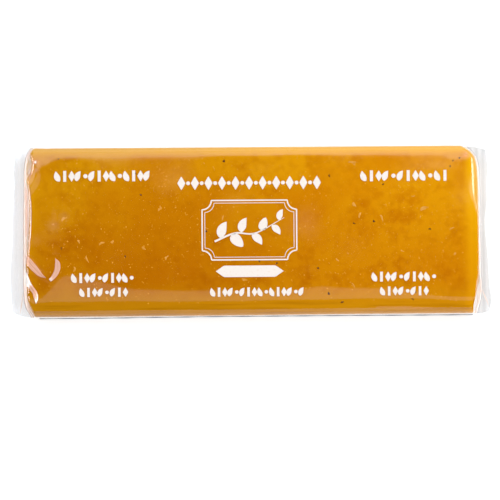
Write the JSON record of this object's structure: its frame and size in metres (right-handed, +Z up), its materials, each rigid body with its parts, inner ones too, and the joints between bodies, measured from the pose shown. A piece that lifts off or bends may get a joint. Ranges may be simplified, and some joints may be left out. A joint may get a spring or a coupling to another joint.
{
  "type": "film-wrapped nougat block",
  "caption": "Flat oblong block of toasted egg-yolk nougat in a tight clear film pack, with a flat sealed fin at each end.",
  "frame": {"origin": "middle of the underside of the pack's box", "axes": "+X along the block's length, +Y across it to its back edge, +Z up through its thickness"},
  "size_m": [0.2332, 0.0836, 0.0224],
  "materials": {
    "clear_film": "thin clear glossy plastic film",
    "toasted_nougat": "glossy amber egg-yolk nougat with a caramelised top",
    "white_print": "opaque white ink on the film"
  },
  "bodies": {
    "root": {"film_wrapped_slab": "clear_film"}
  },
  "joints": []
}
